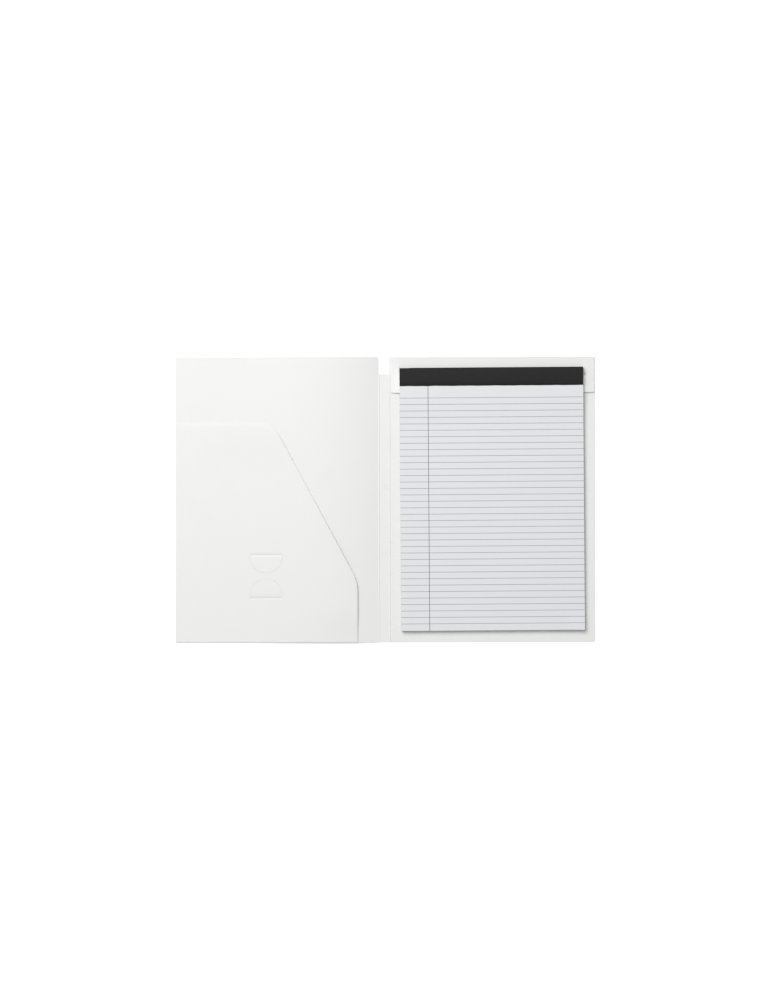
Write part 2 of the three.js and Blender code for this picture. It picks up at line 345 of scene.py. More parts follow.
# A material of card or paper from its table of values. tint(nodes, place, colour) may print on it.
def fibreMaterial(name, values, attribute=None, tint=None):
    material, nodes, shader = newMaterial(name)
    if attribute:
        place = nodes.add("ShaderNodeAttribute", attribute_name=attribute).outputs["Vector"]
    else:
        place = nodes.add("ShaderNodeTexCoord").outputs["Object"]
    made = nodes.add("ShaderNodeGroup", {
        "Place": place,
        "Colour": (*values["colour"], 1),
        "Cloud": values["cloud"],
        "Grain": values["grain"],
        "Grain Size": values["grainSize"] * mm,
    }, node_tree=fibre)
    colour = made.outputs["Colour"]
    if tint:
        colour = tint(nodes, place, colour)
    bump = nodes.add("ShaderNodeBump", {
        "Strength": 1.0,
        "Distance": values["relief"] * mm,
        "Height": made.outputs["Height"],
    })
    nodes.tree.links.new(colour, shader.inputs["Base Color"])
    nodes.tree.links.new(bump.outputs[0], shader.inputs["Normal"])
    shader.inputs["Roughness"].default_value = values["roughness"]
    shader.inputs["Specular IOR Level"].default_value = values["shine"]
    return material


cardLook = {
    "colour": (0.865, 0.865, 0.86),
    "cloud": 0.02,
    "grain": 0.025,
    "grainSize": 0.7,
    "relief": 0.006,
    "roughness": 0.4,
    "shine": 0.32,
}
cardMaterial = fibreMaterial("folderCard", cardLook)

print("materials of the card are made")


# Folder card

card = {
    "left": -238.25,
    "right": 238.25,
    "bottom": -162.0,
    "top": 162.0,
    "thickness": 0.5,
    "frontCorner": 0.8,
    "backCorner": 2.4,
    "frontCrease": -7.25,
    "backCrease": 5.25,
    "creaseGap": 0.1,
    "creaseHalf": 1.3,
    "frontBead": {"height": 0.4, "width": 1.8, "shift": 0.35},
    "backBead": {"height": 0.5, "width": 1.1, "shift": 0.0},
    "notchFoot": 142.6,
    "freeEdge": 4.4,
    "bowAtHead": 5.2,
    "bowAtFoot": 2.6,
    "flatStart": 14.0,
    "edgeRound": 0.09,
    "edgeRoundWidth": 0.9,
    "edgeRings": (0.3, 0.6, 0.9),
}


# The front cover's bow: flat at its left edge, highest near the spine and down again at the crease.
def bow(x, y):
    start = card["left"] + card["flatStart"]
    along = min(max((x - start) / (card["frontCrease"] - start), 0), 1)
    up = (y - card["bottom"]) / (card["top"] - card["bottom"])
    high = card["bowAtFoot"] + (card["bowAtHead"] - card["bowAtFoot"]) * up
    return high * along ** 3 * (1 - along) * 256 / 27  # 27 / 256 is the curve's own highest value


# The underside of a panel that lies flat on the table.
def flat(x, y):
    return 0.0


def cardThick(x, y):
    return card["thickness"]


# The card's thickness at a place near a cut edge, which the cutting has pressed round.
def pressedThick(x, y, cutEdge):
    near = nearness(np.array([[x, y]]), cutEdge)[0]
    return card["thickness"] - card["edgeRound"] * (1 - smooth(near, 0, card["edgeRoundWidth"]))


pocket = {
    "inset": 0.6,
    "width": 206.8,
    "height": 248.5,
    "shoulder": 111.0,
    "slantFoot": 69.0,
    "shoulderRadius": 32.0,
    "slantFootRadius": 45.0,
    "underside": 1.25,
    "sideLift": 1.25,
    "sideLiftAcross": 120.0,
    "sideLiftUp": (1.0, 38.0),
    "mouthLift": 0.95,
    "mouthLiftDown": 60.0,
    "mouthLiftAcross": (6.0, 60.0),
    "glueTabWidth": 14.0,
    "glueTabShorter": 1.0,
    "glueTabUnderside": 0.8,
    "glueTabThickness": 0.45,
}
tabs = {
    "middle": -135.25,
    "foldLines": (-61.9, -110.7),
    "halfWidth": 18.4,
    "straight": 3.0,
    "curve": 18.0,
    "lift": 0.14,
    "liftReach": 8.0,
    "slit": 0.1,
    "slitStarts": (2.3, 0.0),
    "scoreHalf": 17.2,
    "scoreShift": -1.1,
    "scoreAbove": 0.45,
    "scoreBelow": 0.95,
    "scoreDepth": 0.22,
}

# Half the height of the rolled folds at the pocket's foot and at its glued side
footRoll = (pocket["underside"] + card["thickness"]) / 2
sideRoll = (pocket["glueTabUnderside"] + card["thickness"]) / 2
pocketRight, pocketTop = card["left"] + pocket["width"], card["bottom"] + pocket["height"]

# Each half-moon tab as its fold line, 1 if it points down or -1 if up, and where its slit starts
halfMoons = list(zip(tabs["foldLines"], (1, -1), tabs["slitStarts"]))

# Inner points of the front cover's sheets
frontXs = stops(card["left"], card["frontCrease"], 4.0)[1:-1]
frontYs = stops(card["bottom"], card["top"], 12.0)[1:-1]


# How far a point of a half-moon tab springs up from the pocket round it.
def tabLift(x, y, foldY, side):
    aside, down = abs(x - tabs["middle"]) / tabs["halfWidth"], side * (foldY - y)
    edge = tabs["slit"] / 2
    if down < 0 or aside * tabs["halfWidth"] > tabs["halfWidth"] - edge:
        return 0.0
    if down > tabs["straight"] + tabs["curve"] * math.sqrt(1 - aside * aside) - edge:
        return 0.0
    return tabs["lift"] * smooth(down, 0, tabs["liftReach"])


# One side of the slit round a half-moon tab, from left to right.
def halfMoonLine(foldY, side, start, half, curve):
    straightStep, curvePieces = 1.5, 40
    middle, curveY = tabs["middle"], foldY - side * tabs["straight"]
    line = [(middle - half, y) for y in stops(foldY - side * start, curveY, straightStep)[:-1]]
    for i in range(curvePieces + 1):
        angle = math.pi * i / curvePieces
        line.append((middle - half * math.cos(angle), curveY - side * curve * math.sin(angle)))
    return line + [(middle + half, y) for y in stops(curveY, foldY, straightStep)[1:]]


# The slit round a half-moon tab, as a closed outline that begins at start from the fold line.
def halfMoon(foldY, side, start):
    half, curve, slit = tabs["halfWidth"], tabs["curve"], tabs["slit"]
    outer = halfMoonLine(foldY, side, start, half, curve)
    inner = halfMoonLine(foldY, side, start, half - slit, curve - slit)
    return counterClockwise(outer + inner[::-1])


# Section of a rolled fold as (distance in from the edge, height).
def rollSection(height):
    innerPieces, outerPieces = 12, 18
    outer = height / 2
    inner = outer - card["thickness"]
    section = []
    for i in range(innerPieces + 1):
        angle = -math.pi / 2 - math.pi * i / innerPieces
        section.append((outer + inner * math.cos(angle), outer + inner * math.sin(angle)))
    for i in range(outerPieces + 1):
        angle = math.pi / 2 + math.pi * i / outerPieces
        section.append((outer + outer * math.cos(angle), outer + outer * math.sin(angle)))
    return section


def addFrontPanel(parts):
    left, bottom, top = card["left"], card["bottom"], card["top"]
    crease = card["frontCrease"] - card["creaseHalf"]
    freeSide = card["frontCrease"] - card["creaseGap"] / 2
    outline = rounded([
        (left + sideRoll, bottom + footRoll, 0),
        (pocketRight, bottom + footRoll, 0),
        (pocketRight, bottom, 0),
        (crease, bottom, 0),
        (crease, card["notchFoot"], 0),
        (freeSide, card["notchFoot"], 0),
        (freeSide, top, card["frontCorner"]),
        (left, top, card["frontCorner"]),
        (left, pocketTop, 0),
        (left + sideRoll, pocketTop, 0),
    ], 5.0)
    addSheet(parts, outline, bow, cardThick, frontXs, frontYs)


# The pocket's underside. Its free side and its mouth rise a little, and so do the half-moon tabs.
def pocketUnder(x, y):
    free = smooth(x, card["left"] + pocket["sideLiftAcross"], pocketRight)
    free *= smooth(y - card["bottom"], *pocket["sideLiftUp"])
    mouth = smooth(y, pocketTop - pocket["mouthLiftDown"], pocketTop)
    mouth *= smooth(x - card["left"], *pocket["mouthLiftAcross"])
    lifted = max(pocket["sideLift"] * free, pocket["mouthLift"] * mouth)
    sprung = sum(tabLift(x, y, foldY, side) for foldY, side, _ in halfMoons)
    return bow(x, y) + pocket["underside"] + lifted + sprung


# The pocket's thickness, pressed round at its cut edge and scored at the tabs' fold lines.
def pocketThick(x, y, cutEdge):
    thick = pressedThick(x, y, cutEdge)
    for foldY in tabs["foldLines"]:
        if abs(x - tabs["middle"]) < tabs["scoreHalf"] + 0.01:
            off = y - foldY - tabs["scoreShift"]
            reach = tabs["scoreAbove"] if off > 0 else tabs["scoreBelow"]
            thick -= tabs["scoreDepth"] * max(0, 1 - abs(off) / reach)
    return thick


def addPocket(parts):
    left, foot = card["left"], card["bottom"] + footRoll
    outline = rounded([
        (left + pocket["inset"], foot, 0),
        (pocketRight, foot, 0),
        (pocketRight, card["bottom"] + pocket["slantFoot"], pocket["slantFootRadius"]),
        (left + pocket["shoulder"], pocketTop, pocket["shoulderRadius"]),
        (left + pocket["inset"], pocketTop, 0),
    ], 3.0)
    cutEdge = [(x, y) for x, y in outline if y > foot + 0.01 and x > left + 1]
    cutEdge = [(left + pocket["inset"], pocketTop), *cutEdge[::-1], (pocketRight, foot)]

    # Lines of points beside the cut edge and along the scores, so that the mesh can follow them
    lines = []
    for depth in card["edgeRings"]:
        ring = inset(outline, depth)
        lines.append([(x, y) for x, y in ring if y > foot + 1.5 and x > left + 1.5][1:-1])
    for foldY in tabs["foldLines"]:
        across = stops(tabs["middle"] - tabs["scoreHalf"], tabs["middle"] + tabs["scoreHalf"], 1.0)
        for off in (-tabs["scoreBelow"], 0, tabs["scoreAbove"]):
            lines.append([(x, foldY + tabs["scoreShift"] + off) for x in across])
    slits = [halfMoon(*fold) for fold in halfMoons]
    ys = stops(card["bottom"], pocketTop, 6.0)[1:-1]
    addSheet(
        parts, outline, pocketUnder, lambda x, y: pocketThick(x, y, cutEdge),
        frontXs, ys, slits, lines,
    )


# The tab that is folded in at the left edge, to which the pocket's side is glued.
def addGlueTab(parts):
    left, foot = card["left"] + sideRoll, card["bottom"] + footRoll
    right, top = card["left"] + pocket["glueTabWidth"], pocketTop - pocket["glueTabShorter"]
    outline = rounded([(left, foot, 0), (right, foot, 0), (right, top, 0), (left, top, 0)], 6.0)
    addSheet(
        parts, outline,
        lambda x, y: bow(x, y) + pocket["glueTabUnderside"],
        lambda x, y: pocket["glueTabThickness"],
        stops(card["left"], right, 4.0)[1:-1], frontYs,
    )


def buildFrontCover():
    left, bottom = card["left"], card["bottom"]
    parts = ([], [])
    addFrontPanel(parts)
    addPocket(parts)
    addGlueTab(parts)
    addSweep(
        parts, rollSection(2 * footRoll), stops(left + pocket["inset"], pocketRight, 4.0),
        lambda x, a, z: (x, bottom + a, z + bow(x, bottom)),
    )
    addSweep(
        parts, rollSection(2 * sideRoll), stops(bottom + footRoll, pocketTop, 12.0),
        lambda y, a, z: (left + a, y, z),
    )
    return meshObject("frontCover", parts, cardMaterial)


frontCover = buildFrontCover()
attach(frontCover, "front_cover")
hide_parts("front_cover")
print("front cover and pocket are built")


def buildSpine():
    left, right = card["frontCrease"] + card["creaseHalf"], card["backCrease"] - card["creaseHalf"]
    bottom, top = card["bottom"], card["notchFoot"]
    parts = ([], [])
    outline = rounded([(left, bottom, 0), (right, bottom, 0), (right, top, 0), (left, top, 0)], 3.0)
    # Inner points that keep the triangles short
    innerXs, innerYs = stops(-5.0, 3.0, 4.0), stops(-150.0, 130.0, 20.0)
    addSheet(parts, outline, flat, cardThick, innerXs, innerYs)
    return meshObject("spineCard", parts, cardMaterial)


spineCard = buildSpine()
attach(spineCard, "spine")
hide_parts("spine")


# The scored fold: card with a raised bead on its inner side, from one panel's edge to the other's.
def buildCrease(name, creaseX, bead):
    half = card["creaseHalf"]
    across = stops(-half, half, 0.15)

    def top(a):
        away = min(1, abs(a - bead["shift"]) / (bead["width"] / 2))
        return card["thickness"] + bead["height"] * (1 + math.cos(math.pi * away)) / 2

    section = [(a, 0.0) for a in across] + [(a, top(a)) for a in across[::-1]]
    parts = ([], [])
    addSweep(
        parts, section, stops(card["bottom"], card["notchFoot"], 8.0),
        lambda y, a, z: (creaseX + a, y, z + bow(creaseX + a, y)),
    )
    return meshObject(name, parts, cardMaterial, 60)


# Each crease lies between the panel on its right and the one on its left
for name, bead, rightBody, leftBody in (
    ("frontCrease", card["frontBead"], "spine", "front_cover"),
    ("backCrease", card["backBead"], "back_cover", "spine"),
):
    crease = buildCrease(name, card[name], bead)
    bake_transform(crease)
print("spine and creases are built")


flap = {
    "left": 6.75,
    "right": 237.65,
    "height": 40.0,
    "underside": 0.7,
    "strapUnderside": 1.7,
    "strapRise": 10.0,
    "slotY": 142.5,
    "slotLeft": 16.3,
    "slotRight": 227.75,
    "slotHeight": 3.4,
    "boardLeft": 16.9,
    "boardRight": 224.86,
    "padLeft": 17.0,
    "padRight": 226.4,
    "leftDrop": 1.0,
    "rightDrop": 0.5,
    "corner": 1.0,
    "edgeLift": 0.35,
    "leftSpring": 0.5,
    "leftSpringPeak": 2.0,
    "leftSpringLost": 0.8,
    "leftSpringFade": (1.6, 30.0),
    "rightSpring": 0.6,
    "rightSpringReach": 3.0,
    "springFrom": 122.0,
    "springTo": 134.0,
}

# Half the height of the flap's rolled fold, and where the flap's flat part ends below it
flapRoll = (flap["underside"] + card["thickness"]) / 2
flapHead = card["top"] - flapRoll


# How much further the flap's foot springs up beside the pad, which holds it down.
def flapSpring(x, y):
    dip, fade = flap["leftSpringFade"]
    peak = flap["padLeft"] - flap["leftSpringPeak"]
    spring = flap["leftSpring"] * min((x - flap["left"]) / (peak - flap["left"]), 1)
    spring *= 1 - flap["leftSpringLost"] * smooth(x, flap["padLeft"] - dip, flap["padLeft"])
    spring *= 1 - smooth(x, flap["padLeft"], flap["padLeft"] + fade)
    spring += flap["rightSpring"] * smooth(x - flap["padRight"], 0, flap["rightSpringReach"])
    return spring * (1 - smooth(y, flap["springFrom"], flap["springTo"]))


# The flap's underside. Beside the pad it slopes up to the strap, which lies over the board.
def flapUnder(x, y):
    across = min(
        smooth(x, flap["left"], flap["boardLeft"]),
        1 - smooth(x, flap["boardRight"], flap["right"]),
    )
    rollFoot = card["top"] - flap["underside"] - card["thickness"]
    down = 0.5 * (1 - smooth(y, flap["slotY"], rollFoot))
    down += 0.5 * (1 - smooth(y, flap["slotY"] - flap["strapRise"], flap["slotY"]))
    parted = min(
        smooth(x, flap["slotLeft"], flap["boardLeft"]),
        1 - smooth(x, flap["boardRight"], flap["slotRight"]),
    )
    if y > flap["slotY"]:
        lift = across * down * (1 - parted)
    else:
        lift = across * (down + (1 - down) * parted)
        edge = 1 - smooth(x, flap["left"], flap["boardLeft"])
        lift += flap["edgeLift"] * edge * smooth(flap["slotY"] - y, 0, flap["strapRise"])
    rise = (flap["strapUnderside"] - flap["underside"]) * lift
    return flap["underside"] + rise + flapSpring(x, y)


# The long slot with round ends, as a closed outline.
def slotOutline():
    radius = flap["slotHeight"] / 2
    corners = []
    ends = ((flap["slotRight"] - radius, -0.5), (flap["slotLeft"] + radius, 0.5))
    for centreX, turn in ends:
        for i in range(9):
            angle = math.pi * (turn + i / 8)
            x, y = centreX + radius * math.cos(angle), flap["slotY"] + radius * math.sin(angle)
            corners.append((x, y))
    closed = zip(corners, corners[1:] + corners[:1])
    return [point for start, end in closed for point in densify(start, end, 4.0)]


# The order of points along the flap's cut edge: down its left side, across its foot, up its right.
def walk(point, foot):
    x, y = point
    footReach = 1.9
    if abs(y - foot) < footReach:
        return (1, x)
    return (0, -y) if x < (flap["left"] + flap["right"]) / 2 else (2, y)


def addBackPanel(parts):
    left, right = card["backCrease"] + card["creaseHalf"], card["right"]
    bottom, top, corner = card["bottom"], card["top"], card["backCorner"]
    outline = rounded([
        (left, bottom, 0),
        (right, bottom, corner),
        (right, top, corner),
        (flap["right"], top, 0),
        (flap["right"], flapHead, 0),
        (flap["left"], flapHead, 0),
        (flap["left"], top, 0),
        (card["freeEdge"], top, 0),
        (card["freeEdge"], card["notchFoot"], 0),
        (left, card["notchFoot"], 0),
    ], 8.0)
    xs, ys = stops(card["backCrease"], right, 12.0), stops(bottom, top, 12.0)[1:-1]
    addSheet(parts, outline, flat, cardThick, xs, ys)


def addFlap(parts):
    foot = card["top"] - flap["height"]
    leftFoot = (flap["left"], foot - flap["leftDrop"])
    rightFoot = (flap["right"], foot - flap["rightDrop"])
    leftHead, rightHead = (flap["left"], flapHead), (flap["right"], flapHead)
    outline = rounded([
        (*leftFoot, flap["corner"]), (*rightFoot, flap["corner"]), (*rightHead, 0), (*leftHead, 0),
    ], 2.0)
    cutEdge = [leftHead, leftFoot, rightFoot, rightHead]

    # The grid is finer at both ends, where the flap springs up
    leftFine, rightFine = 20, 222
    xs = stops(flap["left"], leftFine, 1.0)[1:] + stops(leftFine, rightFine, 6.0)[1:]
    xs += stops(rightFine, flap["right"], 1.0)[1:-1]
    ys = stops(foot, flapHead, 1.6)[1:-1]
    lines = []
    for depth in card["edgeRings"]:
        ring = [(x, y) for x, y in inset(outline, depth) if y < flapHead - 1.5]
        lines.append(sorted(ring, key=lambda point: walk(point, foot)))
    addSheet(
        parts, outline, flapUnder, lambda x, y: pressedThick(x, y, cutEdge),
        xs, ys, [slotOutline()], lines,
    )


def buildBackCover():
    parts = ([], [])
    addBackPanel(parts)
    addFlap(parts)
    addSweep(
        parts, rollSection(2 * flapRoll), stops(flap["left"], flap["right"], 20.0),
        lambda x, a, z: (x, card["top"] - a, z),
    )
    return meshObject("backCover", parts, cardMaterial)


backCover = buildBackCover()
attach(backCover, "back_cover")
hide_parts("back_cover")
print("back cover and flap are built")


# Writing pad, drawn about its own middle

pad = {
    "x": 121.2,
    "y": 0.7,
    "turnDegrees": 0.32,
    "halfWidth": 104.05,
    "halfHeight": 149.0,
    "sheetCount": 50,
    "sheetsThickness": 4.5,
    "sheetFill": 0.92,
    "innerInset": 0.25,
    "sheetsLow": 1.6,
    "sheetsHigh": 2.65,
    "fallTop": 121.0,
    "fall": 45.0,
    "headInside": 148.2,
    "scatter": 0.12,
    "seed": 7,
    "cornerLift": 0.7,
    "cornerReach": 26.0,
    "waveHeights": (0.14, 0.1),
    "waveLengths": (5.3, 11.0),
    "waveRise": (84.0, 126.0),
    "waveMiddle": -42.0,
    "waveFade": (34.0, 60.0),
}
padTurn = math.radians(pad["turnDegrees"])
sheetPitch = pad["sheetsThickness"] / pad["sheetCount"]
sheetThick = sheetPitch * pad["sheetFill"]
fallStart = pad["fallTop"] - pad["fall"]


# Turns and moves a piece drawn about the pad's middle to its place, in its vertices.
def putPad(made):
    for vertex in made.data.vertices:
        u, v, z = vertex.co
        vertex.co = (
            pad["x"] * mm + u * math.cos(padTurn) - v * math.sin(padTurn),
            pad["y"] * mm + u * math.sin(padTurn) + v * math.cos(padTurn),
            z,
        )
    return made


# The height of the lowest sheet's underside, which rises towards the head over the strap.
def sheetBase(v):
    along = min(max((v - fallStart) / pad["fall"], 0), 1)
    rise = (1 - math.cos(math.pi * along)) / 2
    return pad["sheetsLow"] + (pad["sheetsHigh"] - pad["sheetsLow"]) * rise


ruling = {
    "first": 114.7,
    "pitch": 7.31,
    "count": 36,
    "lineWidth": 0.5,
    "lineDark": 0.75,
    "margin": -71.8,
    "marginWidth": 0.62,
    "marginDark": 1.0,
    "crossingDark": 0.12,
    "ink": (0.12, 0.118, 0.135),
}
paperLook = {
    "colour": (0.793, 0.8, 0.824),
    "cloud": 0.02,
    "grain": 0.03,
    "grainSize": 0.5,
    "relief": 0.004,
    "roughness": 0.8,
    "shine": 0.2,
}


# How much ink lies at a place on the top sheet.
def rulingGroup():
    tree, nodes, given, result = newGroup(
        "ruling", [("Place", "NodeSocketVector", None)], [("Ink", "NodeSocketFloat")],
    )
    split = nodes.add("ShaderNodeSeparateXYZ", {0: given.outputs["Place"]})
    across, up = split.outputs["X"], split.outputs["Y"]
    down = nodes.math("SUBTRACT", ruling["first"] * mm, up)
    number = nodes.math("ROUND", nodes.math("DIVIDE", down, ruling["pitch"] * mm))
    nearest = nodes.math("MULTIPLY", number, ruling["pitch"] * mm)
    off = nodes.math("ABSOLUTE", nodes.math("SUBTRACT", down, nearest))
    onLine = nodes.math("LESS_THAN", off, ruling["lineWidth"] / 2 * mm)
    notAbove = nodes.math("GREATER_THAN", number, -0.5)
    notBelow = nodes.math("LESS_THAN", number, ruling["count"] - 0.5)
    line = nodes.math("MULTIPLY", nodes.math("MULTIPLY", onLine, notAbove), notBelow)
    aside = nodes.math("ABSOLUTE", nodes.math("SUBTRACT", across, ruling["margin"] * mm))
    margin = nodes.math("LESS_THAN", aside, ruling["marginWidth"] / 2 * mm)
    ink = nodes.math(
        "MAXIMUM",
        nodes.math("MULTIPLY", line, ruling["lineDark"]),
        nodes.math("MULTIPLY", margin, ruling["marginDark"]),
    )
    both = nodes.math("MULTIPLY", nodes.math("MULTIPLY", line, margin), ruling["crossingDark"])
    tree.links.new(nodes.math("ADD", ink, both), result.inputs["Ink"])
    return tree


rulingTree = rulingGroup()


def printRuling(nodes, place, colour):
    ink = nodes.add("ShaderNodeGroup", {"Place": place}, node_tree=rulingTree).outputs["Ink"]
    return nodes.mix(ink, colour, ruling["ink"])


topSheetMaterial = fibreMaterial("ruledPaper", paperLook, "padPlace", printRuling)
innerLook = {**paperLook, "colour": (0.8, 0.79, 0.77)}
innerSheetMaterial = fibreMaterial("plainPaper", innerLook, "padPlace")


# Geometry Nodes: lays copies of one sheet on each other, each a little out of line.
def stackGroup():
    tree = bpy.data.node_groups.new("sheetStack", "GeometryNodeTree")
    tree.interface.new_socket("Sheet", in_out="INPUT", socket_type="NodeSocketGeometry")
    for label, kind, value in (
        ("Count", "NodeSocketInt", 49),
        ("Pitch", "NodeSocketFloat", 0.00009),
        ("Scatter", "NodeSocketFloat", 0.0001),
        ("Seed", "NodeSocketInt", 7),
        ("Paper", "NodeSocketMaterial", None),
    ):
        socket = tree.interface.new_socket(label, in_out="INPUT", socket_type=kind)
        if value is not None:
            socket.default_value = value
    tree.interface.new_socket("Stack", in_out="OUTPUT", socket_type="NodeSocketGeometry")
    nodes = Nodes(tree)
    given, result = nodes.add("NodeGroupInput"), nodes.add("NodeGroupOutput")
    step = nodes.add("ShaderNodeCombineXYZ", {"Z": given.outputs["Pitch"]})
    line = nodes.add("GeometryNodeMeshLine", {
        "Count": given.outputs["Count"],
        "Offset": step.outputs[0],
    })
    copies = nodes.add("GeometryNodeInstanceOnPoints", {
        "Points": line.outputs[0],
        "Instance": given.outputs["Sheet"],
    })
    away = nodes.add("FunctionNodeRandomValue", {
        0: nodes.scale((-1, -1, 0), given.outputs["Scatter"]),
        1: nodes.scale((1, 1, 0), given.outputs["Scatter"]),
        "Seed": given.outputs["Seed"],
    }, data_type="FLOAT_VECTOR")
    moved = nodes.add("GeometryNodeTranslateInstances", {
        "Instances": copies.outputs[0],
        "Translation": away.outputs[0],
    })
    solid = nodes.add("GeometryNodeRealizeInstances", {0: moved.outputs[0]})
    painted = nodes.add("GeometryNodeSetMaterial", {
        "Geometry": solid.outputs[0],
        "Material": given.outputs["Paper"],
    })
    tree.links.new(painted.outputs[0], result.inputs[0])
    return tree


# Runs a Geometry Nodes tree on an object and keeps the mesh that it makes.
def applyNodes(made, tree, values):
    modifier = made.modifiers.new("nodes", "NODES")
    modifier.node_group = tree
    for item in tree.interface.items_tree:
        if item.in_out == "INPUT" and item.name in values:
            modifier[item.identifier] = values[item.name]
    made.update_tag()
    bpy.context.view_layer.update()
    ready = made.evaluated_get(bpy.context.evaluated_depsgraph_get())
    mesh = bpy.data.meshes.new_from_object(ready)
    made.modifiers.remove(modifier)
    made.data = mesh
    return made


# The sheets under the top one.
def buildInnerSheets():
    half, foot = pad["halfWidth"] - pad["innerInset"], pad["innerInset"] - pad["halfHeight"]
    section = [(-half, 0.0), (half, 0.0), (half, sheetThick), (-half, sheetThick)]
    straightMiddle = 40
    stations = [foot, straightMiddle, *stops(fallStart, pad["fallTop"], 5.0), pad["headInside"]]
    parts = ([], [])
    addSweep(parts, section, stations, lambda v, u, z: (u, v, sheetBase(v) + z))
    stack = meshObject("innerSheets", parts, innerSheetMaterial, 30, True)
    applyNodes(stack, stackGroup(), {
        "Count": pad["sheetCount"] - 1,
        "Pitch": sheetPitch * mm,
        "Scatter": pad["scatter"] * mm,
        "Seed": pad["seed"],
        "Paper": innerSheetMaterial,
    })
    return putPad(stack)


# The top sheet's underside, with slight waves below the tape and a lifted lower right corner.
def topSheetUnder(u, v):
    (shortHigh, longHigh), (shortWave, longWave) = pad["waveHeights"], pad["waveLengths"]
    waves = shortHigh * math.sin(u / shortWave + 0.6 * math.sin(v / 9))
    waves += longHigh * math.sin(u / longWave + 1.3)
    aside = abs(u - pad["waveMiddle"])
    waves *= smooth(v, *pad["waveRise"]) * (1 - smooth(aside, *pad["waveFade"]))
    corner = math.hypot(pad["halfWidth"] - u, v + pad["halfHeight"])
    lift = pad["cornerLift"] * (1 - smooth(corner, 0, pad["cornerReach"]))
    return sheetBase(v) + sheetPitch * (pad["sheetCount"] - 1) + max(0, waves) + lift


def buildTopSheet():
    half, foot, head = pad["halfWidth"], -pad["halfHeight"], pad["headInside"]
    outline = rounded([
        (-half, foot, 0.5), (half, foot, 0.5), (half, head, 0), (-half, head, 0),
    ], 4.0)
    # The grid is finer at the lifted corner and in the waves
    cornerUp, cornerAside, waveRight = foot + 30, half - 30, 10
    us = stops(-half, waveRight, 1.2)[1:] + stops(waveRight, cornerAside, 8.0)[1:]
    us += stops(cornerAside, half, 2.5)[1:-1]
    vs = stops(foot, cornerUp, 2.5)[1:] + stops(cornerUp, fallStart, 12.0)[1:]
    vs += stops(fallStart, head, 2.0)[1:-1]
    parts = ([], [])
    addSheet(parts, outline, topSheetUnder, lambda u, v: sheetThick, us, vs)
    return putPad(meshObject("topSheet", parts, topSheetMaterial, 30, True))


innerSheets, topSheet = buildInnerSheets(), buildTopSheet()
for sheets in (innerSheets, topSheet):
    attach(sheets, "back_cover")
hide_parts("pad_sheets")
print("sheets are built")


tape = {
    "thickness": 0.25,
    "front": 20.7,
    "back": 5.0,
    "radius": 0.8,
    "faceTop": 7.5,
    "faceMiddle": 14.0,
    "backUnder": 1.4,
    "waver": 0.12,
    "waverLengths": (3.1, 7.7),
    "leftDip": 0.25,
    "leftDipAcross": (9.0, 13.0),
    "leftDipDown": 6.0,
    "colour": (0.0088, 0.0088, 0.0091),
    # Colour of the painted shade along the tape's edges, and the width over which it fades in
    "edgeShadeColour": (0.004, 0.004, 0.004),
    "edgeShadeWidth": (0.4, 1.1),
    "grain": 0.5,
    "grainScale": 1500.0,
    "patches": 0.12,
    "patchScale": 260.0,
    "relief": 0.03,
    "roughness": 0.62,
    "shine": 0.3,
}


# Black tape with a fine grain, and painted shade darkening it along its edges.
def tapeMaterial():
    material, nodes, shader = newMaterial("bindingTape")
    place = nodes.add("ShaderNodeAttribute", attribute_name="padPlace").outputs["Vector"]
    split = nodes.add("ShaderNodeSeparateXYZ", {0: place})
    fine = nodes.noise(place, tape["grainScale"], 3.0)
    broad = nodes.noise(place, tape["patchScale"], 2.0)
    shade = nodes.math(
        "ADD",
        nodes.between(fine, 0.3, 0.7, 1 - tape["grain"], 1 + tape["grain"]),
        nodes.between(broad, 0.3, 0.7, -tape["patches"], tape["patches"]),
    )
    # Painted shade: the tape turns darker near its ends, its front edge and its head
    aside = nodes.math("ABSOLUTE", split.outputs["X"])
    sideways = nodes.math("SUBTRACT", pad["halfWidth"] * mm, aside)
    lower = nodes.math("SUBTRACT", split.outputs["Y"], (pad["halfHeight"] - tape["front"]) * mm)
    upper = nodes.math("SUBTRACT", pad["halfHeight"] * mm, split.outputs["Y"])
    near = nodes.math("MINIMUM", nodes.math("MINIMUM", sideways, lower), upper)
    edgeStart, edgeEnd = tape["edgeShadeWidth"]
    inward = nodes.between(near, edgeStart * mm, edgeEnd * mm, 0.0, 1.0)
    colour = nodes.mix(inward, tape["edgeShadeColour"], tape["colour"])
    nodes.tree.links.new(nodes.scale(colour, shade), shader.inputs["Base Color"])
    bump = nodes.add("ShaderNodeBump", {
        "Strength": 1.0,
        "Distance": tape["relief"] * mm,
        "Height": fine,
    })
    nodes.tree.links.new(bump.outputs[0], shader.inputs["Normal"])
    shader.inputs["Roughness"].default_value = tape["roughness"]
    shader.inputs["Specular IOR Level"].default_value = tape["shine"]
    return material


# A quarter turn in eight steps, from the angle start.
def quarterTurn(centreV, centreZ, radius, start):
    angles = [start + math.pi / 2 * i / 8 for i in range(9)]
    return [
        (centreV + radius * math.cos(angle), centreZ + radius * math.sin(angle)) for angle in angles
    ]


